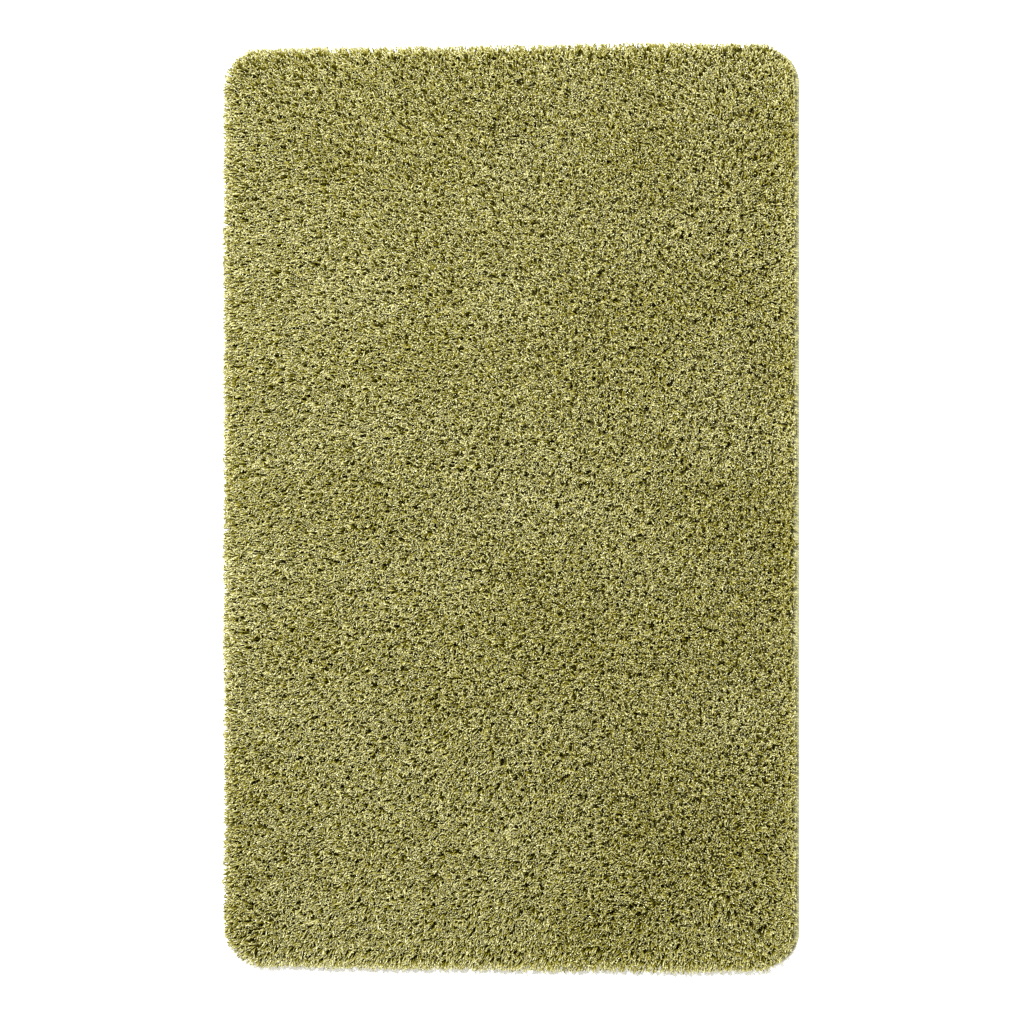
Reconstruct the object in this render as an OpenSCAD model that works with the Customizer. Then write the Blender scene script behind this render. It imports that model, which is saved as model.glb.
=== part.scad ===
// Tufted bath mat: a deep cut pile on a woven cloth, locked with latex, backed with a
// dotted non-slip sheet and overlocked with yarn all round its edge.
// The origin is the middle of the underside, where the grip dots meet the floor.
// +X runs across the mat, +Y along its length and +Z up through the pile.

/* [Mat] */
// Width across the mat, over the edge yarn
mat_w = 500; // [300:10:600]
// Length of the mat, over the edge yarn
mat_l = 800; // [450:10:1000]
// Radius of the four corners, over the edge yarn
corner_r = 32; // [24:1:80]

/* [Pile] */
// Height of the cut pile above the woven cloth
pile_h = 20; // [14:1:40]
// Radius that rounds the pile over at its rim
pile_round_r = 8; // [2:1:10]
// Spacing of the rows of tufts, across the mat
row_gauge = 4; // [3:0.5:8]
// Width of the yarn run under each row
stitch_w = 1.8; // [1:0.1:2.4]
// Thickness of the yarn run under each row
stitch_t = 0.8; // [0.4:0.1:1]

/* [Layers] */
// Thickness of the woven cloth that the tufts are stitched through
cloth_t = 0.7; // [0.4:0.1:1]
// Thickness of the latex that locks the tufts
latex_t = 1.2; // [1.1:0.1:1.8]
// Thickness of the non-slip sheet without its dots
sheet_t = 1; // [0.6:0.1:1.5]

/* [Grip dots] */
// Height of the grip dots
dot_h = 1.5; // [1.5:0.1:3]
// Diameter of a grip dot
dot_d = 5; // [3:0.5:8]
// Spacing of the grip dots along a row
dot_pitch = 20; // [16:1:40]

/* [Edge] */
// Width of the yarn band on each face of the edge
band_w = 5; // [4:0.5:10]
// Thickness of the yarn that wraps the edge
wrap_t = 1.2; // [0.9:0.1:1.2]
// Thickness of the thread that holds the wraps
thread_t = 0.6; // [0.3:0.1:1]

/* [Care label] */
// Width of the blank care label
label_w = 32; // [20:1:60]
// Length of the blank care label, in from the edge
label_l = 48; // [30:1:80]
// Thickness of the label tape
label_t = 0.3; // [0.2:0.05:0.3]
// Number of stitches that hold the label
label_stitches_n = 6; // [3:1:8]

/* [Hidden] */
$fn = 64;

// Distances between the centres of the corner arcs
span_w = mat_w - 2 * corner_r;
span_l = mat_l - 2 * corner_r;

// Corner radii of the outlines that lie one inside the other
cut_r = corner_r - wrap_t;          // the cut edge of the cloth, latex and sheet
band_r = cut_r - band_w;            // the inner edge of the yarn band
clear_gap = 0.2;                    // space left between the pile and the edge yarns
pile_foot_r = band_r - thread_t - clear_gap;
row_margin = 2;                     // the stitch rows stop this far from the cut edge
dot_margin = 2;                     // the dots stop this far from the needle thread
dot_field_r = band_r - thread_t - dot_margin;

// Heights of the layers, from the floor up
sheet_z = dot_h;
latex_z = sheet_z + sheet_t;
cloth_z = latex_z + latex_t;
pile_z = cloth_z + cloth_t;
pile_top_z = pile_z + pile_h;
band_bottom_z = sheet_z - wrap_t;
band_top_z = pile_z + wrap_t;
band_middle_z = (sheet_z + pile_z) / 2;
pile_rim_z = band_top_z + clear_gap;

// Rows of tufts and of grip dots
row_count = 2 * floor((mat_w / 2 - wrap_t - row_margin - stitch_w / 2) / row_gauge) + 1;
dot_row_pitch = dot_pitch / 2;
dot_rows = floor(mat_l / 2 / dot_row_pitch);
dot_columns = floor(mat_w / 2 / dot_pitch);

// The label lies under the band at one corner of the -Y end
label_inset = 2;                    // from the outside of the mat to the label
label_x = mat_w / 2 - corner_r - label_w;
label_y = -mat_l / 2 + label_inset;
label_seam_y = 2;                   // from the label's outer end to its seam
label_stitch_pitch = label_w / (label_stitches_n + 0.5);
label_stitch_l = label_stitch_pitch * 0.7;
label_stitch_w = 0.5;

// Whether a point lies inside the outline whose corner radius is r, by at least a margin
function beyond(v, span) = max(abs(v) - span / 2, 0);
function inside(x, y, r, margin) =
    norm([beyond(x, span_w), beyond(y, span_l)]) <= r - margin;

// The mat's outline at any of the corner radii above, made of two bars and four discs
module outline(r) {
    square([span_w + 2 * r, span_l], center = true);
    square([span_w, span_l + 2 * r], center = true);
    for (x = [-1, 1], y = [-1, 1])
        translate([x * span_w / 2, y * span_l / 2])
            circle(r);
}

// One flat layer of the mat
module layer(r, z, t) {
    translate([0, 0, z])
        linear_extrude(t)
            outline(r);
}

// Sweeps a profile once round the mat. Its x is the distance out from the centres of the
// corner arcs and its y is the height.
module around() {
    for (turn = [0, 180])
        rotate([0, 0, turn]) {
            translate([span_w / 2, span_l / 2, 0]) {
                rotate([90, 0, 0])
                    linear_extrude(span_l)
                        children();
                rotate_extrude(angle = 90)
                    children();
            }
            translate([-span_w / 2, span_l / 2, 0]) {
                rotate([90, 0, 90])
                    linear_extrude(span_w)
                        children();
                rotate([0, 0, 90])
                    rotate_extrude(angle = 90)
                        children();
            }
        }
}

// Section through the rim of the pile, rounded over at its top
module pile_rim_section() {
    rim_h = pile_top_z - pile_rim_z;
    translate([0, pile_rim_z]) {
        square([corner_r, rim_h - pile_round_r]);
        square([corner_r - pile_round_r, rim_h]);
        translate([corner_r - pile_round_r, rim_h - pile_round_r])
            intersection() {
                circle(pile_round_r);
                square(pile_round_r);
            }
    }
}

// The cut pile as one soft block. It stands on the cloth inside the edge yarn and its rim
// hangs over the yarn, out to the edge of the mat.
module pile() {
    color("#8f9150") {
        layer(pile_foot_r, pile_z, pile_rim_z - pile_z + 1);
        translate([-span_w / 2, -span_l / 2, pile_rim_z])
            cube([span_w, span_l, pile_top_z - pile_rim_z]);
        around()
            pile_rim_section();
    }
}

// Woven cloth that the tufts are stitched through
module primary_backing() {
    color("#cfc7a6")
        layer(cut_r, cloth_z, cloth_t);
}

// Outlines of the runs of pile yarn under the cloth, one for each row of tufts
module stitch_rows() {
    intersection() {
        outline(cut_r - row_margin);
        for (i = [0 : row_count - 1])
            translate([(i - (row_count - 1) / 2) * row_gauge, 0])
                square([stitch_w, mat_l], center = true);
    }
}

// The same pile yarn where it passes from tuft to tuft, under the cloth
module tuft_back_stitches() {
    color("#8a8c4a")
        translate([0, 0, cloth_z - stitch_t])
            linear_extrude(stitch_t)
                stitch_rows();
}

// Latex that fills in round the back stitches and glues them to the cloth
module latex_binder() {
    color("#e6e0c4")
        difference() {
            layer(cut_r, latex_z, latex_t);
            translate([0, 0, cloth_z - stitch_t])
                linear_extrude(stitch_t + 1)
                    stitch_rows();
        }
}

// Staggered grip dots, with none near enough to the edge to be cut through
module grip_dots() {
    for (row = [-dot_rows : dot_rows], column = [-dot_columns : dot_columns]) {
        x = (column + abs(row % 2) / 2) * dot_pitch;
        y = row * dot_row_pitch;
        if (inside(x, y, dot_field_r, dot_d / 2))
            translate([x, y, 0])
                cylinder(h = dot_h, d = dot_d, $fn = 24);
    }
}

// The space of the label, with the dots above it pressed in by the label's thickness
module label_tape(t) {
    translate([label_x, label_y, 0])
        cube([label_w, label_l, t]);
}

// Non-slip rubber sheet with its grip dots, moulded in one piece
module anti_slip_backing() {
    color("#d8d4bd")
        difference() {
            union() {
                layer(cut_r, sheet_z, sheet_t);
                grip_dots();
            }
            label_tape(label_t);
        }
}

// Section of the yarn band round the edge: a rounded skin round the layers' cut edge
module band_section() {
    band_h = band_top_z - band_bottom_z;
    difference() {
        union() {
            translate([band_r, band_bottom_z])
                square([corner_r - band_h / 2 - band_r, band_h]);
            translate([corner_r - band_h / 2, band_middle_z])
                circle(band_h / 2);
        }
        translate([0, sheet_z])
            square([cut_r, pile_z - sheet_z]);
    }
}

// Yarn of the upper looper, wrapped over the top of the edge
module binding_upper_yarn() {
    color("#a9ab6c")
        around()
            intersection() {
                band_section();
                translate([0, band_middle_z])
                    square([corner_r, band_top_z]);
            }
}

// Yarn of the lower looper, wrapped under the edge
module binding_lower_yarn() {
    color("#9da061")
        around()
            intersection() {
                band_section();
                square([corner_r, band_middle_z]);
            }
}

// Needle thread beside the band, one run on the cloth and one under the sheet
module binding_needle_thread() {
    color("#b9b98a")
        around() {
            translate([band_r - thread_t, pile_z])
                square(thread_t);
            translate([band_r - thread_t, sheet_z - thread_t])
                square(thread_t);
        }
}

// Places of the stitches along the label's seam
module label_seam(t) {
    for (i = [0 : label_stitches_n - 1])
        translate([
            label_x + (i + 0.5) * label_stitch_pitch,
            label_y + label_seam_y,
            0
        ])
            cube([label_stitch_l, label_stitch_w, t]);
}

// Blank woven care label
module care_label() {
    color("white")
        difference() {
            label_tape(label_t);
            translate([0, 0, -1])
                label_seam(label_t + 2);
        }
}

// Thread stitches that hold the label to the edge
module care_label_stitches() {
    color("#c9c9b0")
        label_seam(label_t);
}

pile();
primary_backing();
tuft_back_stitches();
latex_binder();
anti_slip_backing();
binding_upper_yarn();
binding_lower_yarn();
binding_needle_thread();
care_label();
care_label_stitches();
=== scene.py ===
import math
from functools import cache

import bpy
import numpy as np
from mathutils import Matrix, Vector


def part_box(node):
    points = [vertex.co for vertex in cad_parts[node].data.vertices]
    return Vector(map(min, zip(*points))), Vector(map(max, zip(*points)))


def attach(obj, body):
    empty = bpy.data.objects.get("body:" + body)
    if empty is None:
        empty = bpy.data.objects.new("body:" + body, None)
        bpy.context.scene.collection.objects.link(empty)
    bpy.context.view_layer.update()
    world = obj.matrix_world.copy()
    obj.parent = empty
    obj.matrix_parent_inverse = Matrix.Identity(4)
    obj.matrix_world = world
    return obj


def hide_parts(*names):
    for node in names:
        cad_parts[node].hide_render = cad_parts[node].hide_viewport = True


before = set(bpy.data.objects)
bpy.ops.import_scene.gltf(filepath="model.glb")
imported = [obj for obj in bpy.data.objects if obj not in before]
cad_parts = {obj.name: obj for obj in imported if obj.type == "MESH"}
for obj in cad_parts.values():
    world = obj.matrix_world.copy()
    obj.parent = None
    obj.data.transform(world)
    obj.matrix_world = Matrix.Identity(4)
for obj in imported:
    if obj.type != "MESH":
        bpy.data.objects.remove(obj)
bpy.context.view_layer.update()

# A tufted bath mat. Its pile is grown as separate ends of cut yarn, its edge is wrapped with
# overlock yarn, and the rubber layers under the pile keep their CAD shapes.
# Lengths are metres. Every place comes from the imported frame: +X is the right side in the
# camera's view, +Y is away and +Z is up.

MM = 0.001
TINY = 1e-9                             # the least length that anything is divided by

# Seeds of the random draws
PILE_SEED = 8
EDGE_SEED = 3
CLUMP_SEED = 40
SHADE_SEED = 50
RIPPLE_SEED = 60


# ---- Places, from the frame ----------------------------------------------------------------

STRAIGHT_WITHIN = 0.01 * MM


def corner_radius(node):
    """The radius of a node's rounded corners, from where its +Y side stops being straight."""
    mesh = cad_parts[node].data
    points = np.empty(len(mesh.vertices) * 3)
    mesh.vertices.foreach_get("co", points)
    points = points.reshape(-1, 3)
    on_side = points[:, 1] > points[:, 1].max() - STRAIGHT_WITHIN
    return points[:, 0].max() - np.abs(points[on_side, 0]).max()


CLOTH_LOW, CLOTH_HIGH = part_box("primary_backing")
UPPER_LOW, UPPER_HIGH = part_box("binding_upper_yarn")
LOWER_LOW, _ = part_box("binding_lower_yarn")
_, THREAD_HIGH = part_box("binding_needle_thread")
LABEL_LOW, LABEL_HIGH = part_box("care_label")
TACKS_LOW, TACKS_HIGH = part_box("care_label_stitches")

HALF_W = UPPER_HIGH.x
HALF_L = UPPER_HIGH.y
CORNER_R = corner_radius("binding_upper_yarn")
SPAN_X = HALF_W - CORNER_R              # from the middle to the corner arcs' centres
SPAN_Y = HALF_L - CORNER_R
BAND_W = HALF_W - THREAD_HIGH.x         # the whole width of the yarn band
WRAP_T = UPPER_HIGH.z - CLOTH_HIGH.z    # the thickness of the yarn band
CLOTH_TOP = CLOTH_HIGH.z
SHEET_UNDER = LOWER_LOW.z + WRAP_T      # the underside of the rubber sheet
EDGE_MIDDLE = UPPER_LOW.z               # where the upper and lower yarns meet
PERIMETER = 4 * (SPAN_X + SPAN_Y) + 2 * math.pi * CORNER_R


# ---- Helpers -------------------------------------------------------------------------------

LATTICE_CELLS = 512                     # along each side of the lattice, centred on the mat
CAP = 0.5                               # of a tube's radius, for the height of its pointed ends


def smooth_step(low, high, value):
    """0 below low, 1 above high, and a smooth rise between them."""
    share = np.clip((value - low) / (high - low), 0, 1)
    return share * share * (3 - 2 * share)


def lattice_noise(x, y, size, seed):
    """Smooth random values from -1 to 1, in patches about size across."""
    shape = (LATTICE_CELLS, LATTICE_CELLS)
    values = np.random.default_rng(seed).uniform(-1, 1, shape)
    u = x / size + LATTICE_CELLS / 2
    v = y / size + LATTICE_CELLS / 2
    i = np.floor(u).astype(int)
    j = np.floor(v).astype(int)
    fade_u = smooth_step(0, 1, u - i)
    fade_v = smooth_step(0, 1, v - j)
    near = values[i, j] * (1 - fade_u) + values[i + 1, j] * fade_u
    far = values[i, j + 1] * (1 - fade_u) + values[i + 1, j + 1] * fade_u
    return near * (1 - fade_v) + far * fade_v


def from_edge(x, y):
    """How far points lie inside the mat's outline, and which way is out from them."""
    past_x = np.abs(x) - SPAN_X
    past_y = np.abs(y) - SPAN_Y
    corner_x = np.maximum(past_x, 0)
    corner_y = np.maximum(past_y, 0)
    reach = np.hypot(corner_x, corner_y)
    depth = CORNER_R - reach - np.minimum(np.maximum(past_x, past_y), 0)
    sideways = past_x > past_y
    safe = np.maximum(reach, TINY)
    out_x = np.where(reach > 0, corner_x / safe, sideways) * np.sign(x)
    out_y = np.where(reach > 0, corner_y / safe, ~sideways) * np.sign(y)
    return depth, out_x, out_y


def stations(count):
    """Evenly spaced places round the mat: points on the corner centres' rectangle and the
    directions out from them."""
    arc = math.pi / 2 * CORNER_R
    runs = [2 * SPAN_Y, arc, 2 * SPAN_X, arc] * 2
    ends = np.cumsum([0] + runs)
    at = (np.arange(count) + 0.5) / count * ends[-1]
    run = np.searchsorted(ends, at, side="right") - 1
    share = (at - ends[run]) / np.array(runs)[run]
    # the walk starts at the right side's near end and goes anticlockwise
    turn = (run // 2 + np.where(run % 2 == 1, share, 0)) * math.pi / 2
    corner = (run + 1) // 2 % 4
    signs_x = np.array([1, 1, -1, -1])
    signs_y = np.array([-1, 1, 1, -1])
    start = np.stack([signs_x[corner] * SPAN_X, signs_y[corner] * SPAN_Y], axis=1)
    following = (corner + 1) % 4
    finish = np.stack([signs_x[following] * SPAN_X, signs_y[following] * SPAN_Y], axis=1)
    along = np.where(run % 2 == 0, share, 0)[:, None]
    return start + (finish - start) * along, np.stack([np.cos(turn), np.sin(turn)], axis=1)


def new_object(name, data):
    """An object in the scene that shows a mesh, a light or a camera."""
    thing = bpy.data.objects.new(name, data)
    bpy.context.collection.objects.link(thing)
    return thing


def add_piece(mesh, node):
    """A visible piece, which rides on the mat and stands for the CAD node that it replaces."""
    piece = new_object(mesh.name, mesh)
    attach(piece, "root")
    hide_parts(node)
    return piece


def tube_faces(rings, sides):
    """The faces of one closed tube whose rings are followed by a root and a tip point, and
    the ring that each face belongs to."""
    faces = []
    levels = []
    for ring in range(rings - 1):
        for side in range(sides):
            after = (side + 1) % sides
            low = ring * sides
            high = low + sides
            faces.append((low + side, low + after, high + after, high + side))
            levels.append(ring)
    root = rings * sides
    tip = root + 1
    last = root - sides
    for side in range(sides):
        after = (side + 1) % sides
        faces.append((after, side, root))
        faces.append((last + side, last + after, tip))
        levels += [0, rings - 1]
    return faces, np.array(levels)


def tube_points(centres, radius, sides, spin, oval):
    """The points of many tubes: their rings, then a root and a tip point for each."""
    count, rings = centres.shape[:2]
    steps = np.diff(centres, axis=1)
    tangent = np.empty_like(centres)
    tangent[:, 0] = steps[:, 0]
    tangent[:, -1] = steps[:, -1]
    tangent[:, 1:-1] = steps[:, 1:] + steps[:, :-1]
    tangent /= np.linalg.norm(tangent, axis=2, keepdims=True)
    whole = centres[:, -1] - centres[:, 0]
    aside = np.stack([-whole[:, 1], whole[:, 0], np.zeros(count)], axis=1) + TINY
    across = np.cross(tangent, aside[:, None, :])
    across /= np.linalg.norm(across, axis=2, keepdims=True)
    other = np.cross(tangent, across)
    points = np.empty((count, rings * sides + 2, 3))
    for side in range(sides):
        angle = spin + 2 * math.pi * side / sides
        wide = (np.cos(angle) * radius)[..., None] * across
        high = (np.sin(angle) * radius)[..., None] * other
        stretch = 1 + oval * (1 if side % 2 == 0 else -1)
        points[:, side:rings * sides:sides] = centres + (wide + high) * stretch
    cap = radius[:, :1] * CAP
    points[:, -2] = centres[:, 0] - tangent[:, 0] * cap
    points[:, -1] = centres[:, -1] + tangent[:, -1] * cap
    return points


def tubes_mesh(name, centres, radius, sides, spin, oval, materials, shades=None):
    """Many tubes in one smooth mesh. centres holds a row of ring centres for each tube, radius
    and spin are per ring, oval is how much wider than round a tube of even sides is, and shades
    holds a material number for each ring of each tube."""
    points = tube_points(centres, radius, sides, spin, oval)
    faces, levels = tube_faces(centres.shape[1], sides)
    corners = np.concatenate(faces)
    starts = np.cumsum([0] + [len(face) for face in faces[:-1]])
    count = centres.shape[0]
    tube = np.arange(count)[:, None]
    mesh = bpy.data.meshes.new(name)
    mesh.vertices.add(points.size // 3)
    mesh.vertices.foreach_set("co", points.ravel())
    mesh.loops.add(count * corners.size)
    vertex = tube * points.shape[1] + corners
    mesh.loops.foreach_set("vertex_index", vertex.ravel().astype(np.int32))
    mesh.polygons.add(count * len(faces))
    start = tube * corners.size + starts
    mesh.polygons.foreach_set("loop_start", start.ravel().astype(np.int32))
    mesh.polygons.foreach_set("use_smooth", np.ones(count * len(faces), bool))
    if shades is not None:
        mesh.polygons.foreach_set("material_index", shades[:, levels].ravel().astype(np.int32))
    mesh.update(calc_edges=True)
    for material in materials:
        mesh.materials.append(material)
    return mesh


# ---- Materials -----------------------------------------------------------------------------

# Yarn shades from the deepest to the palest. Between strands they give the dye's random tone;
# along each strand the deep ones are painted shade and the pale ones a painted highlight
YARN_PLACES = [0, 0.5, 1]
YARN_COLOURS = np.array([(0.101, 0.084, 0.002), (0.187, 0.168, 0.022), (0.354, 0.333, 0.134)])
YARN_SPECULAR = [0.0, 0.4, 1.0]
POLYESTER_IOR = 1.64
YARN_SHADES = 7
EDGE_SHADES = 3
EDGE_PALE = 0.10                        # how far the edge yarn's shades are from the middle one
EDGE_COLOUR = np.array([0.295, 0.283, 0.125])
THREAD_COLOUR = (0.30, 0.28, 0.11)
SPUN_SPECULAR = 0.5                     # of the edge yarn and the sewing thread

# Each of the mat's surfaces has noise features to the metre, a range of roughness, and the
# strength and the height of its bumps
YARN_FIBRES = 2600
YARN_FIBRE_DETAIL = 1.0
YARN_ROUGHNESS = (0.34, 0.54)
YARN_BUMP = (0.35, 0.1 * MM)

WEAVE_PITCH = 1.6 * MM
WEAVE_UNEVEN = 0.4
# the cloth is painted dark, as the shade deep under the pile; its weave mixes the two colours
CLOTH_COLOURS = ((0.10, 0.085, 0.012), (0.20, 0.175, 0.035))
CLOTH_FIBRES = 900
CLOTH_ROUGHNESS = (0.7, 0.9)
CLOTH_BUMP = (0.6, 0.2 * MM)

LABEL_THREAD_PITCH = 0.6 * MM
LABEL_COLOURS = ((0.70, 0.69, 0.63), (0.84, 0.83, 0.78))
LABEL_FIBRES = 1500
LABEL_ROUGHNESS = (0.45, 0.65)
LABEL_BUMP = (0.4, 0.1 * MM)

RUBBER_COLOURS = ((0.46, 0.44, 0.36), (0.58, 0.56, 0.47))
RUBBER_MOTTLE = 45
RUBBER_PATCHES = 300
RUBBER_PITS = 1400
RUBBER_ROUGHNESS = (0.55, 0.8)
RUBBER_BUMP = (0.3, 0.15 * MM)

LATEX_COLOURS = ((0.50, 0.45, 0.30), (0.66, 0.62, 0.46))
LATEX_MOTTLE = 120
LATEX_PATCHES = 400
LATEX_LUMPS = 500
LATEX_ROUGHNESS = (0.35, 0.6)
LATEX_BUMP = (0.4, 0.3 * MM)

FLOOR_COLOUR = (0.95, 0.95, 0.95)
FLOOR_ROUGHNESS = 0.9


def new_material(name):
    """A material with a Principled shader, its tree and its shader."""
    material = bpy.data.materials.new(name)
    material.use_nodes = True
    tree = material.node_tree
    return material, tree, tree.nodes["Principled BSDF"]


def noise(tree, scale, detail=3.0):
    """A noise in the object's own space, with scale features to the metre."""
    place = tree.nodes.new("ShaderNodeTexCoord")
    texture = tree.nodes.new("ShaderNodeTexNoise")
    texture.inputs["Scale"].default_value = scale
    texture.inputs["Detail"].default_value = detail
    tree.links.new(place.outputs["Object"], texture.inputs["Vector"])
    return texture.outputs["Fac"]


def bands(tree, direction, pitch):
    """Smooth bands across X or Y, like the yarns of a weave, in the object's own space. At a
    scale of 1 the texture has a band every pi / 10 metres."""
    place = tree.nodes.new("ShaderNodeTexCoord")
    texture = tree.nodes.new("ShaderNodeTexWave")
    texture.bands_direction = direction
    texture.inputs["Scale"].default_value = math.pi / 10 / pitch
    texture.inputs["Distortion"].default_value = WEAVE_UNEVEN
    tree.links.new(place.outputs["Object"], texture.inputs["Vector"])
    return texture.outputs["Fac"]


def mixed_colour(tree, shader, share, low, high):
    """Base colour between two colours."""
    mix = tree.nodes.new("ShaderNodeMix")
    mix.data_type = "RGBA"
    mix.inputs["A"].default_value = (*low, 1)
    mix.inputs["B"].default_value = (*high, 1)
    tree.links.new(share, mix.inputs["Factor"])
    tree.links.new(mix.outputs["Result"], shader.inputs["Base Color"])


def roughness_between(tree, shader, share, low, high):
    """Roughness between two values."""
    scale = tree.nodes.new("ShaderNodeMapRange")
    scale.inputs["To Min"].default_value = low
    scale.inputs["To Max"].default_value = high
    tree.links.new(share, scale.inputs["Value"])
    tree.links.new(scale.outputs["Result"], shader.inputs["Roughness"])


def bump(tree, shader, height, strength, distance):
    """Small relief that the light shows, with a height in metres."""
    node = tree.nodes.new("ShaderNodeBump")
    node.inputs["Strength"].default_value = strength
    node.inputs["Distance"].default_value = distance
    tree.links.new(height, node.inputs["Height"])
    tree.links.new(node.outputs["Normal"], shader.inputs["Normal"])


def yarn_material(name, colour, specular):
    """Satin polyester yarn: fine fibres in its bump and roughness, and one plain colour."""
    material, tree, shader = new_material(name)
    shader.inputs["Base Color"].default_value = (*colour, 1)
    shader.inputs["IOR"].default_value = POLYESTER_IOR
    shader.inputs["Specular IOR Level"].default_value = specular
    fibres = noise(tree, YARN_FIBRES, YARN_FIBRE_DETAIL)
    roughness_between(tree, shader, fibres, *YARN_ROUGHNESS)
    bump(tree, shader, fibres, *YARN_BUMP)
    return material


def yarn_shade(number):
    """One of the pile yarn's shades, which give the random dye tone between strands and the
    painted shade and painted highlight along each strand.
    """
    place = number / (YARN_SHADES - 1)
    colour = [np.interp(place, YARN_PLACES, YARN_COLOURS[:, channel]) for channel in range(3)]
    specular = np.interp(place, YARN_PLACES, YARN_SPECULAR)
    return yarn_material(f"pile_yarn_{number + 1}", colour, specular)


@cache
def edge_shade(number):
    """One of the shades of the edge yarn, which is a little paler than the pile."""
    middle = (EDGE_SHADES - 1) / 2
    colour = EDGE_COLOUR * (1 + EDGE_PALE * (number - middle) / middle)
    return yarn_material(f"edge_yarn_{number + 1}", colour, SPUN_SPECULAR)


@cache
def thread_material():
    """Fine polyester sewing thread."""
    return yarn_material("sewing_thread", THREAD_COLOUR, SPUN_SPECULAR)


def cloth_material():
    """Woven tape yarns, painted dark olive as the shade deep under the pile, with a colour and a
    bump that follow the weave.
    """
    material, tree, shader = new_material("woven_cloth")
    weave = tree.nodes.new("ShaderNodeMath")
    weave.operation = "MAXIMUM"
    tree.links.new(bands(tree, "X", WEAVE_PITCH), weave.inputs[0])
    tree.links.new(bands(tree, "Y", WEAVE_PITCH), weave.inputs[1])
    mixed_colour(tree, shader, weave.outputs["Value"], *CLOTH_COLOURS)
    roughness_between(tree, shader, noise(tree, CLOTH_FIBRES), *CLOTH_ROUGHNESS)
    bump(tree, shader, weave.outputs["Value"], *CLOTH_BUMP)
    return material


def label_material():
    """Off-white satin tape with fine cross threads."""
    material, tree, shader = new_material("label_tape")
    threads = bands(tree, "Y", LABEL_THREAD_PITCH)
    mixed_colour(tree, shader, threads, *LABEL_COLOURS)
    roughness_between(tree, shader, noise(tree, LABEL_FIBRES), *LABEL_ROUGHNESS)
    bump(tree, shader, threads, *LABEL_BUMP)
    return material


def rubber_material():
    """The grey-beige anti-slip rubber: mottled, matt and finely pitted."""
    material, tree, shader = new_material("grip_rubber")
    mixed_colour(tree, shader, noise(tree, RUBBER_MOTTLE), *RUBBER_COLOURS)
    roughness_between(tree, shader, noise(tree, RUBBER_PATCHES), *RUBBER_ROUGHNESS)
    bump(tree, shader, noise(tree, RUBBER_PITS), *RUBBER_BUMP)
    return material


def latex_material():
    """The dried latex that holds the tufts, more glossy than the rubber."""
    material, tree, shader = new_material("latex")
    mixed_colour(tree, shader, noise(tree, LATEX_MOTTLE), *LATEX_COLOURS)
    roughness_between(tree, shader, noise(tree, LATEX_PATCHES), *LATEX_ROUGHNESS)
    bump(tree, shader, noise(tree, LATEX_LUMPS), *LATEX_BUMP)
    return material


def floor_material():
    """Plain matt white paper."""
    material, _, shader = new_material("floor_white")
    shader.inputs["Base Color"].default_value = (*FLOOR_COLOUR, 1)
    shader.inputs["Roughness"].default_value = FLOOR_ROUGHNESS
    return material


# ---- The pile ------------------------------------------------------------------------------

ROW_GAUGE = 4 * MM                      # between rows of tufts
STITCH = 2.45 * MM                      # between tufts in a row
ENDS = 3                                # ends of yarn that stand up from each tuft
END_SPREAD = 0.6 * MM                   # from the middle of a tuft to its ends
ROOT_SCATTER = 0.3 * MM
EDGE_TUFT_PITCH = 0.55 * MM             # along the yarn band, for the last line of pile
EDGE_TUFTS = (0.1 * MM, 2.5 * MM)       # how far inside the yarn band that line lies
PATCH_COLUMNS = 4                       # the pile is made as this grid of objects
PATCH_ROWS = 6

STRAND_L = 22.5 * MM
STRAND_R = 0.59 * MM
LENGTH_SPREAD = 0.045                   # of the length, one standard deviation
RADIUS_SPREAD = 0.08                    # of the radius
EDGE_SHORTER = 0.24                     # of the length, for strands beside the yarn band
STRAND_SIDES = 3
TWIST_PITCH = 9 * MM                    # along the yarn, for one turn of its twist
RING_PLACES = np.array([0, 0.66, 0.80, 0.91, 1.0])      # of the length, closest where it bends

# Angles of the strands, in radians from upright
LAY_LEFT = 0.15                         # the whole pile is brushed to the left
LAY_CHANGE = 0.13                       # more so at the left side and less so at the right
LAY_PATCHES = [(110 * MM, 0.17, 10), (30 * MM, 0.07, 20)]     # size, lean and seed
TUFT_LEAN = 0.08
END_LEAN = 0.13
EDGE_WILDER = 1.2                       # how much more the strands beside the band lean
ROOT_LEAN = 0.4                         # of a strand's lean that its root has already
BEND = 0.8                              # of a strand's top
BEND_SPREAD = 0.5
MOST_BEND = 1.8
HEADING_SPREAD = 1.4                    # of the way that tops bend, about the lay
BEND_FROM = 0.66                        # where along a strand its top starts to bend over
BEND_TO = 0.9
MOST_TILT = 1.45

# How far strands reach past the outline, and how much they are combed out, on each side
REACH = {"left": 3.0 * MM, "right": -1.5 * MM, "far": 2.4 * MM, "near": 2.7 * MM}
COMBED = {"left": 0.20, "right": -0.05, "far": 0.25, "near": 0.35}
SPLAY = {"left": 0.58, "right": -0.10, "far": 0.65, "near": 0.65}
COMBED_DEPTH = 40 * MM                  # how far in from the edge the combing fades
SPLAY_DEPTH = 6 * MM
EDGE_DEPTH = 5 * MM
SIDE_BLEND = 0.35                       # the size of out_x from which left or right rules alone
DRAWN_IN = 3 * MM                       # how much less strands reach at the right end
DRAWN_FROM = 80 * MM                    # how far before the right corners that starts
CLUMP = 9 * MM                          # the size of the clumps along the fringe
CLUMP_REACH = 1.0 * MM
LEAST_REACH = 0.05                      # of its own reach, that a drawn-in strand keeps
STRAY_REACH = 0.8 * MM                  # how much further a stray strand reaches, on average
HANG = 0.8                              # how far a drawn-in strand drops, for each metre in
HANG_DEPTH = 12 * MM                    # how far in from the yarn band strands hang
FLOOR_GAP = 1.2 * MM                    # the lowest that a hanging strand reaches

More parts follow.
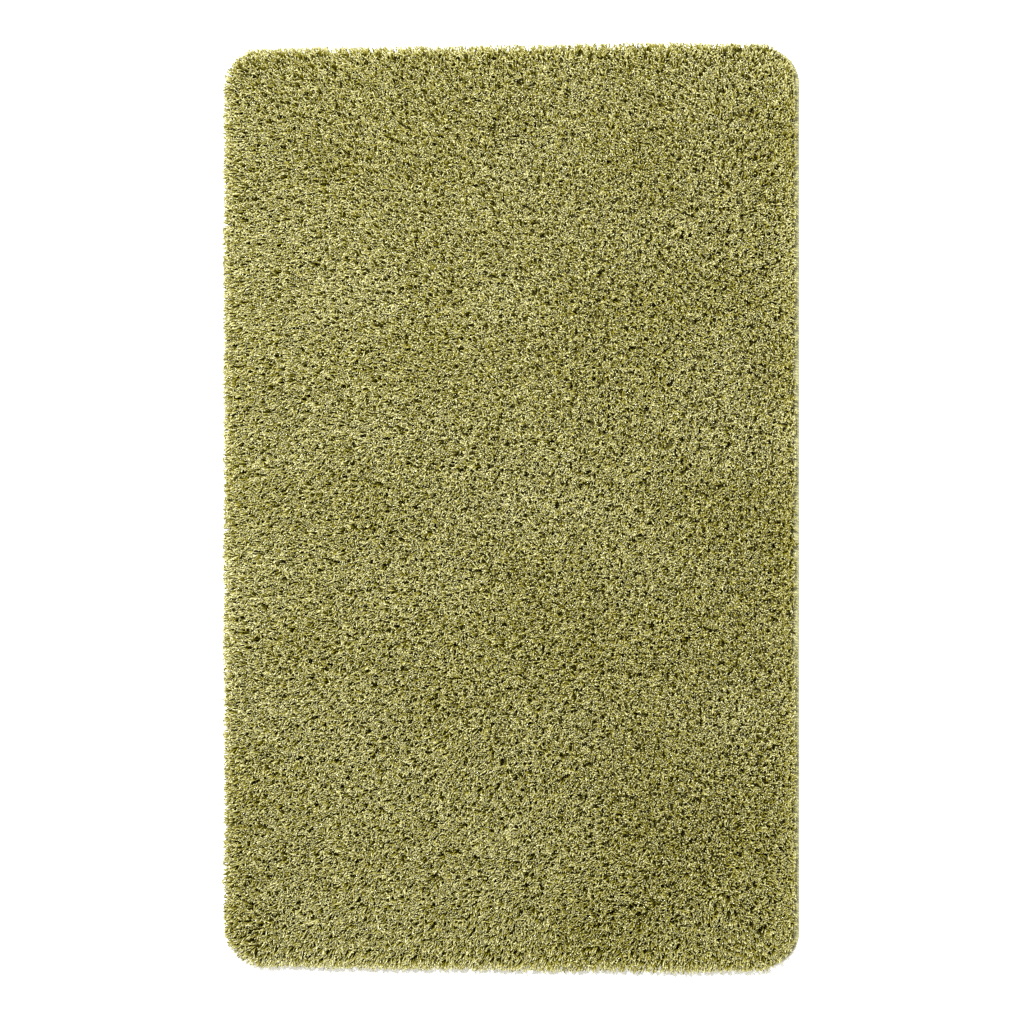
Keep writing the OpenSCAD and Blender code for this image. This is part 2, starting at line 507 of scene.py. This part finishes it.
# Shades, in steps of the yarn's shades
SHADE_SPREAD = 0.85                     # between strands
SHADE_PATCH = 60 * MM                   # the size of patches that are paler or darker
SHADE_PATCHES = 0.6
SHADE_LIFT = 0.12                       # of the whole pile, above the middle shade
# painted light: the pile is painted paler towards its left and far side and darker towards its
# right and near side
LEFT_PAINTED_LIGHT = 0.39
FAR_PAINTED_LIGHT = 0.12
# painted shade at a strand's root and a painted highlight at its tip, though the yarn has one dye
# along its length
PAINTED_LIGHT_ALONG_STRAND = [(0, -3.2), (0.6, -2.4), (1, 3.1)]    # place along a strand, and its paler shade
# beside the yarn band the roots get less painted shade and the tips less painted highlight
EDGE_PALER = 3.5                        # how much paler the roots beside the yarn band are
EDGE_TIPS_DARKER = 1.7                  # and how much darker their tips are
EDGE_PALER_DEPTH = 4 * MM


def by_side(values, out_x, out_y):
    """Blends the values of the four sides by the direction out, round the corners too."""
    across = np.where(out_x < 0, values["left"], values["right"])
    along = np.where(out_y < 0, values["near"], values["far"])
    share = smooth_step(0, SIDE_BLEND, np.abs(out_x))
    return across * share + along * (1 - share)


def near_band(depth, size):
    """One beside the yarn band, fading over a size to nothing in the middle of the mat."""
    return np.exp(-(depth - BAND_W) / size)


def strand_roots(rng):
    """Where each end of each tuft leaves the cloth, and the number of its tuft."""
    columns = int(HALF_W / ROW_GAUGE)
    rows = int(HALF_L / STITCH)
    column, row, end = np.meshgrid(
        np.arange(-columns, columns + 1),
        np.arange(-rows, rows + 1),
        np.arange(ENDS),
        indexing="ij",
    )
    column, row, end = column.ravel(), row.ravel(), end.ravel()
    tuft = np.arange(column.size) // ENDS
    turn = rng.uniform(0, 2 * math.pi, tuft.max() + 1)[tuft] + 2 * math.pi * end / ENDS
    x = column * ROW_GAUGE + END_SPREAD * np.cos(turn)
    # every second row of tufts is half a stitch further along
    y = (row + column % 2 / 2) * STITCH + END_SPREAD * np.sin(turn)
    x += rng.normal(0, ROOT_SCATTER, column.size)
    y += rng.normal(0, ROOT_SCATTER, column.size)
    rooted = from_edge(x, y)[0] > BAND_W
    edge_x, edge_y = edge_roots(rng)
    edge_tuft = tuft.max() + 1 + np.arange(edge_x.size)
    return (
        np.concatenate([x[rooted], edge_x]),
        np.concatenate([y[rooted], edge_y]),
        np.concatenate([tuft[rooted], edge_tuft]),
    )


def edge_roots(rng):
    """Places close to the yarn band, where the cut rows leave a dense last line of pile."""
    base, out = stations(round(PERIMETER / EDGE_TUFT_PITCH))
    depth = BAND_W + rng.uniform(*EDGE_TUFTS, base.shape[0])
    points = base + out * (CORNER_R - depth)[:, None]
    return points[:, 0], points[:, 1]


def strand_lay(x, y):
    """How far the pile as a whole is tilted along x and y, in radians: it is brushed to the
    left, more so on its left half, combed out near its edges, and patchy."""
    depth, out_x, out_y = from_edge(x, y)
    combed = by_side(COMBED, out_x, out_y) * near_band(depth, COMBED_DEPTH)
    combed += by_side(SPLAY, out_x, out_y) * near_band(depth, SPLAY_DEPTH)
    lay_x = -LAY_LEFT + LAY_CHANGE * x / HALF_W + combed * out_x
    lay_y = combed * out_y
    for size, amount, seed in LAY_PATCHES:
        lay_x += amount * lattice_noise(x, y, size, seed)
        lay_y += amount * lattice_noise(x, y, size, seed + 1)
    return lay_x, lay_y


def strand_paths(x, y, tuft, rng):
    """The ring centres of each strand: it leaves the cloth nearly upright and its top bends
    over, as heat-set yarn does."""
    count = x.size
    lay_x, lay_y = strand_lay(x, y)
    at_edge = near_band(from_edge(x, y)[0], EDGE_DEPTH)
    own = rng.normal(0, TUFT_LEAN, (tuft.max() + 1, 2))[tuft]
    own += rng.normal(0, END_LEAN, (count, 2))
    own *= (1 + EDGE_WILDER * at_edge)[:, None]
    lean_x = lay_x + own[:, 0]
    lean_y = lay_y + own[:, 1]
    bend = np.clip(rng.normal(BEND, BEND_SPREAD, count), 0, MOST_BEND)
    heading = np.arctan2(lay_y, lay_x) + rng.normal(0, HEADING_SPREAD, count)
    length = STRAND_L * rng.normal(1, LENGTH_SPREAD, count) * (1 - EDGE_SHORTER * at_edge)
    centres = np.empty((count, RING_PLACES.size, 3))
    centres[:, 0] = np.stack([x, y, np.full(count, CLOTH_TOP)], axis=1)
    for ring in range(1, RING_PLACES.size):
        place = (RING_PLACES[ring - 1] + RING_PLACES[ring]) / 2
        step = length * (RING_PLACES[ring] - RING_PLACES[ring - 1])
        over = bend * smooth_step(BEND_FROM, BEND_TO, place)
        leaning = ROOT_LEAN + (1 - ROOT_LEAN) * place
        tilt_x = lean_x * leaning + over * np.cos(heading)
        tilt_y = lean_y * leaning + over * np.sin(heading)
        amount = np.hypot(tilt_x, tilt_y) + TINY
        tilt = MOST_TILT * np.tanh(amount / MOST_TILT)
        flat = np.sin(tilt) * step
        centres[:, ring, 0] = centres[:, ring - 1, 0] + flat * tilt_x / amount
        centres[:, ring, 1] = centres[:, ring - 1, 1] + flat * tilt_y / amount
        centres[:, ring, 2] = centres[:, ring - 1, 2] + np.cos(tilt) * step
    return centres


def hold_at_edge(centres, rng):
    """Draws in the strands that would reach too far past the edge, and lets them hang instead."""
    x = centres[:, 0, 0]
    y = centres[:, 0, 1]
    depth, out_x, out_y = from_edge(x, y)
    limit = by_side(REACH, out_x, out_y)
    limit = limit - DRAWN_IN * smooth_step(SPAN_X - DRAWN_FROM, SPAN_X, x)
    limit = limit + CLUMP_REACH * lattice_noise(x, y, CLUMP, CLUMP_SEED)
    limit = limit + rng.exponential(STRAY_REACH, x.size)
    reach = (centres[..., 0] - x[:, None]) * out_x[:, None]
    reach += (centres[..., 1] - y[:, None]) * out_y[:, None]
    most = np.maximum(reach.max(axis=1), TINY)
    kept = np.clip((depth + limit) / most, LEAST_REACH, 1)
    drawn_in = reach * (1 - kept)[:, None]
    centres[..., 0] -= drawn_in * out_x[:, None]
    centres[..., 1] -= drawn_in * out_y[:, None]
    outer = np.clip(1 - (depth - BAND_W) / HANG_DEPTH, 0, 1) * (limit > 0)
    centres[..., 2] -= HANG * drawn_in * outer[:, None]
    centres[..., 2] = np.maximum(centres[..., 2], FLOOR_GAP + STRAND_R)


def strand_shades(x, y, rng):
    """The shade number of each ring of each strand: a random dye tone for each strand, with
    painted shade at the roots, a painted highlight at the tips, and painted light that is paler to
    the left and far side.
    """
    middle = (YARN_SHADES - 1) / 2
    number = middle + SHADE_LIFT + rng.normal(0, SHADE_SPREAD, x.size)
    number += SHADE_PATCHES * lattice_noise(x, y, SHADE_PATCH, SHADE_SEED)
    # painted light, paler to the left and the far side
    number += FAR_PAINTED_LIGHT * y / HALF_L - LEFT_PAINTED_LIGHT * x / HALF_W
    places, paler = zip(*PAINTED_LIGHT_ALONG_STRAND)
    at_edge = near_band(from_edge(x, y)[0], EDGE_PALER_DEPTH)
    # painted shade towards the roots and a painted highlight towards the tips, both lessened
    # beside the yarn band
    along = np.interp(RING_PLACES, places, paler)
    along = along + EDGE_PALER * at_edge[:, None] * (1 - RING_PLACES)
    along = along - EDGE_TIPS_DARKER * at_edge[:, None] * RING_PLACES
    return np.clip(np.round(number[:, None] + along), 0, YARN_SHADES - 1)


def make_pile():
    """Strands in a grid of patches, in the yarn's shades."""
    rng = np.random.default_rng(PILE_SEED)
    x, y, tuft = strand_roots(rng)
    centres = strand_paths(x, y, tuft, rng)
    hold_at_edge(centres, rng)
    radius = STRAND_R * rng.normal(1, RADIUS_SPREAD, (x.size, 1)) * np.ones(RING_PLACES.size)
    turns = RING_PLACES * STRAND_L / TWIST_PITCH
    spin = rng.uniform(0, 2 * math.pi, (x.size, 1)) + 2 * math.pi * turns
    shades = strand_shades(x, y, rng)
    materials = [yarn_shade(number) for number in range(YARN_SHADES)]
    column = np.clip((x / HALF_W + 1) / 2 * PATCH_COLUMNS, 0, PATCH_COLUMNS - 1).astype(int)
    row = np.clip((y / HALF_L + 1) / 2 * PATCH_ROWS, 0, PATCH_ROWS - 1).astype(int)
    for i in range(PATCH_COLUMNS):
        for j in range(PATCH_ROWS):
            here = (column == i) & (row == j)
            mesh = tubes_mesh(
                f"pile_patch_{i + 1}_{j + 1}", centres[here], radius[here], STRAND_SIDES,
                spin[here], 0, materials, shades[here]
            )
            add_piece(mesh, "pile")


# ---- The edge ------------------------------------------------------------------------------

def round_the_edge(base, out, distance, height, shift):
    """Points at a distance out from the base points, at a height, shifted along the edge."""
    points = np.empty((base.shape[0], distance.size, 3))
    along = np.stack([-out[:, 1], out[:, 0]], axis=1)
    for axis in range(2):
        points[..., axis] = base[:, axis, None] + out[:, axis, None] * distance
        points[..., axis] += along[:, axis, None] * shift
    points[..., 2] = height
    return points


WRAP_PITCH = 1.35 * MM
WRAP_SIDES = 6
WRAP_OVAL = 0.12                        # how much wider than round a wrap is
WRAP_SLANT = 0.9 * MM                   # along the edge, from a wrap's inner end to its outer
WRAP_SCATTER = 0.04 * MM
WRAP_FULL = 1.06                        # of half the band's thickness, so that wraps touch
WRAP_SPREAD = 0.04
WRAP_TURN = 5                           # radians of twist along a wrap
WRAP_ROUND_RINGS = 5                    # round the edge of the mat
THREAD_PITCH = 3.4 * MM                 # between the needle thread's stitches
THREAD_STITCH = 3.0 * MM                # the length of thread that shows in each
THREAD_R = (THREAD_HIGH.z - CLOTH_TOP) / 2
THREAD_RINGS = 7
THREAD_SIDES = 6
THREAD_SLIM = 0.96
THREAD_OVAL = 0.06


def make_wraps(node, face, level, rng):
    """One binding yarn as the wraps that an overlocker lays, one beside the other. face is 1
    above the mat and -1 below it, and level is the surface that the wraps lie on."""
    radius = WRAP_T / 2
    base, out = stations(round(PERIMETER / WRAP_PITCH))
    top = level + face * radius
    drop = abs(top - EDGE_MIDDLE)
    inner = CORNER_R - BAND_W
    outer = CORNER_R - radius - drop
    turn = np.linspace(0, math.pi / 2, WRAP_ROUND_RINGS)
    distance = np.concatenate([[inner, inner + 2 * radius], outer + drop * np.sin(turn)])
    height = np.concatenate([[level, top], EDGE_MIDDLE + face * drop * np.cos(turn)])
    shift = np.linspace(0, WRAP_SLANT, distance.size)
    centres = round_the_edge(base, out, distance, height, shift)
    count = base.shape[0]
    centres += rng.normal(0, WRAP_SCATTER, (count, 1, 3))
    thick = radius * rng.normal(WRAP_FULL, WRAP_SPREAD, (count, 1)) * np.ones(distance.size)
    spin = rng.uniform(0, 2 * math.pi, (count, 1)) + np.linspace(0, WRAP_TURN, distance.size)
    shades = rng.integers(0, EDGE_SHADES, (count, 1)) * np.ones(distance.size)
    materials = [edge_shade(number) for number in range(EDGE_SHADES)]
    mesh = tubes_mesh(
        f"{node}_wraps", centres, thick, WRAP_SIDES, spin, WRAP_OVAL, materials, shades
    )
    add_piece(mesh, node)


def stitch_rise(count):
    """Places along one stitch from 0 to 1, and how far out of the cloth each is, from 0 to 1."""
    share = np.linspace(0, 1, count)
    return share, np.sin(math.pi * share)


def thread_mesh(name, centres, radius, share):
    """Stitches of sewing thread, a little slimmer than the CAD ones, with half a turn of twist."""
    slim = np.full(centres.shape[:2], radius * THREAD_SLIM)
    spin = np.ones((centres.shape[0], 1)) * share * math.pi
    return tubes_mesh(name, centres, slim, THREAD_SIDES, spin, THREAD_OVAL, [thread_material()])


def make_needle_thread():
    """The straight stitches that hold the wraps, one line above the mat and one below it."""
    base, out = stations(round(PERIMETER / THREAD_PITCH))
    share, rise = stitch_rise(THREAD_RINGS)
    distance = np.full(share.size, THREAD_HIGH.x - THREAD_R - SPAN_X)
    along = (share - 0.5) * THREAD_STITCH
    lines = []
    for face, level in ((1, CLOTH_TOP), (-1, SHEET_UNDER)):
        height = level + face * THREAD_R * (2 * rise - 1)
        lines.append(round_the_edge(base, out, distance, height, along))
    mesh = thread_mesh("binding_stitches", np.concatenate(lines), THREAD_R, share)
    add_piece(mesh, "binding_needle_thread")


# ---- The woven cloth and the label ---------------------------------------------------------

SHEET_ROWS = 24                         # points along a sheet's ribs
RIPPLE = 6 * MM                         # the size of the small uneven places in a sheet
RIPPLE_SHARE = 0.25                     # of a sheet's relief, with the ribs as the rest
CLOTH_RIDGE = 0.2 * MM
CLOTH_STEP = 1 * MM                     # between points across the cloth's ribs
LABEL_RIDGE = 0.08 * MM
LABEL_RIB = 1 * MM
LABEL_STEP = 0.25 * MM
LABEL_RAISED = 0.12 * MM                # so that the thread of its seam stands out below it


def quads(number):
    """The faces between neighbouring points of a grid of point numbers."""
    grid = np.stack([number[:-1, :-1], number[1:, :-1], number[1:, 1:], number[:-1, 1:]], axis=2)
    return grid.reshape(-1, 4).tolist()


def ribbed_sheet(name, x_places, ends, low, high, ridge, pitch, material):
    """A closed sheet of cloth. It reaches from the first to the second y place of ends(x), and
    has ridges along y on its upper face."""
    share = np.linspace(0, 1, SHEET_ROWS)
    starts, stops = ends(x_places)
    y = starts[:, None] + (stops - starts)[:, None] * share
    x = np.repeat(x_places[:, None], SHEET_ROWS, axis=1)
    rib = (1 - np.cos(2 * math.pi * x / pitch)) / 2
    ripple = (1 + lattice_noise(x, y, RIPPLE, RIPPLE_SEED)) / 2
    relief = (1 - RIPPLE_SHARE) * rib + RIPPLE_SHARE * ripple
    top = np.stack([x, y, high - ridge * relief], axis=2)
    bottom = np.stack([x, y, np.full(x.shape, low)], axis=2)
    points = np.concatenate([top.reshape(-1, 3), bottom.reshape(-1, 3)])
    number = np.arange(x.size).reshape(x.shape)
    under = number + x.size
    faces = [*quads(number), *quads(under[::-1])]
    rim = np.concatenate([number[:, 0], number[-1, 1:], number[-2::-1, -1], number[0, -2:0:-1]])
    after = np.roll(rim, -1)
    faces += np.stack([after, rim, rim + x.size, after + x.size], axis=1).tolist()
    mesh = bpy.data.meshes.new(name)
    mesh.from_pydata(points.tolist(), [], faces)
    mesh.polygons.foreach_set("use_smooth", np.ones(len(faces), bool))
    mesh.materials.append(material)
    return mesh


def make_cloth():
    """The woven cloth that the pile is tufted into, ridged where the rows of tufts go through."""
    corner = corner_radius("primary_backing")
    span_x = CLOTH_HIGH.x - corner
    span_y = CLOTH_HIGH.y - corner

    def ends(x):
        past = np.maximum(np.abs(x) - span_x, 0)
        stop = span_y + np.sqrt(np.maximum(corner ** 2 - past ** 2, 0))
        return -stop, stop

    count = round((CLOTH_HIGH.x - CLOTH_LOW.x) / CLOTH_STEP) + 1
    x_places = np.linspace(CLOTH_LOW.x, CLOTH_HIGH.x, count)
    mesh = ribbed_sheet(
        "tufted_cloth", x_places, ends, CLOTH_LOW.z, CLOTH_HIGH.z,
        CLOTH_RIDGE, ROW_GAUGE, cloth_material()
    )
    cloth = add_piece(mesh, "primary_backing")


def make_label():
    """A blank care label of ribbed woven tape, tacked under the edge."""
    width = LABEL_HIGH.x - LABEL_LOW.x
    x_places = np.linspace(LABEL_LOW.x, LABEL_HIGH.x, round(width / LABEL_STEP) + 1)

    def ends(x):
        return np.full(x.size, LABEL_LOW.y), np.full(x.size, LABEL_HIGH.y)

    mesh = ribbed_sheet(
        "label_tape", x_places, ends, LABEL_LOW.z + LABEL_RAISED, LABEL_HIGH.z,
        LABEL_RIDGE, LABEL_RIB, label_material()
    )
    label = add_piece(mesh, "care_label")


TACKS = 6                               # stitches across the label
TACKS_MARGIN = 0.5                      # of their pitch, beside the last stitch


def make_tacks():
    """The stitches that hold the label, in the places of the CAD ones. Their ends go up through
    the tape into the edge."""
    pitch = (LABEL_HIGH.x - LABEL_LOW.x) / (TACKS + TACKS_MARGIN)
    radius = (TACKS_HIGH.z - TACKS_LOW.z) / 2
    share, rise = stitch_rise(THREAD_RINGS)
    length = TACKS_HIGH.x - TACKS_LOW.x - (TACKS - 1) * pitch
    centres = np.empty((TACKS, share.size, 3))
    centres[..., 0] = TACKS_LOW.x + np.arange(TACKS)[:, None] * pitch + length * share
    centres[..., 1] = (TACKS_LOW.y + TACKS_HIGH.y) / 2
    centres[..., 2] = TACKS_LOW.z + radius * (2 - rise)
    mesh = thread_mesh("label_tacks", centres, radius, share)
    add_piece(mesh, "care_label_stitches")


def finish_cad_layers():
    """The rubber layers and the tufts' back stitches keep their CAD shapes."""
    for node, material in (
        ("anti_slip_backing", rubber_material()),
        ("latex_binder", latex_material()),
        ("tuft_back_stitches", edge_shade(EDGE_SHADES // 2)),
    ):
        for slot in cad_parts[node].material_slots:
            slot.material = material


edge_rng = np.random.default_rng(EDGE_SEED)
make_pile()
make_wraps("binding_upper_yarn", 1, CLOTH_TOP, edge_rng)
make_wraps("binding_lower_yarn", -1, SHEET_UNDER, edge_rng)
make_needle_thread()
make_cloth()
make_label()
make_tacks()
finish_cad_layers()


# ---- Stage, light and camera ---------------------------------------------------------------

CAMERA_DISTANCE = 2.2
CAMERA_YAW = math.radians(4.2)
VIEW_WIDTH = 0.8943                     # metres across the picture, at the aim
AIM = Vector((0.2 * MM, -4 * MM, CLOTH_TOP + 6 * MM))
FLOOR_HALF = 6.0
FLOOR_Z = -0.3 * MM                     # just under the grip dots
KEY_PLACE = (-0.14, 0.5, 2.2)
KEY_SIZE = 0.35
KEY_POWER = 150
SKY_COLOUR = (1, 0.985, 0.90)
SKY_STRENGTH = 1.05


def make_floor():
    """A wide sheet of paper under the mat."""
    mesh = bpy.data.meshes.new("floor")
    corners = [(-1, -1), (1, -1), (1, 1), (-1, 1)]
    points = [(x * FLOOR_HALF, y * FLOOR_HALF, FLOOR_Z) for x, y in corners]
    mesh.from_pydata(points, [], [(0, 1, 2, 3)])
    mesh.materials.append(floor_material())
    new_object("floor", mesh)


def make_key_light():
    """A round soft lamp that shines at the middle of the mat."""
    light = bpy.data.lights.new("key", "AREA")
    light.shape = "DISK"
    light.size = KEY_SIZE
    light.energy = KEY_POWER
    lamp = new_object("key", light)
    lamp.location = KEY_PLACE
    lamp.rotation_euler = (-Vector(KEY_PLACE)).to_track_quat("-Z", "Y").to_euler()


def make_camera():
    """A camera that looks down at the mat, a little from its right."""
    camera = bpy.data.cameras.new("camera")
    camera.lens = camera.sensor_width * CAMERA_DISTANCE / VIEW_WIDTH
    view = new_object("camera", camera)
    back = Vector((math.sin(CAMERA_YAW), 0, math.cos(CAMERA_YAW)))
    view.location = AIM + back * CAMERA_DISTANCE
    view.rotation_euler = (0, CAMERA_YAW, 0)
    bpy.context.scene.camera = view


def make_world():
    """An even pale sky, and a picture that keeps its colours plain."""
    world = bpy.data.worlds.new("world")
    world.use_nodes = True
    sky = world.node_tree.nodes["Background"]
    sky.inputs["Color"].default_value = (*SKY_COLOUR, 1)
    sky.inputs["Strength"].default_value = SKY_STRENGTH
    bpy.context.scene.world = world
    bpy.context.scene.view_settings.view_transform = "Standard"
    bpy.context.scene.cycles.use_denoising = False      # it would smear the ends of the yarn


make_floor()
make_key_light()
make_camera()
make_world()
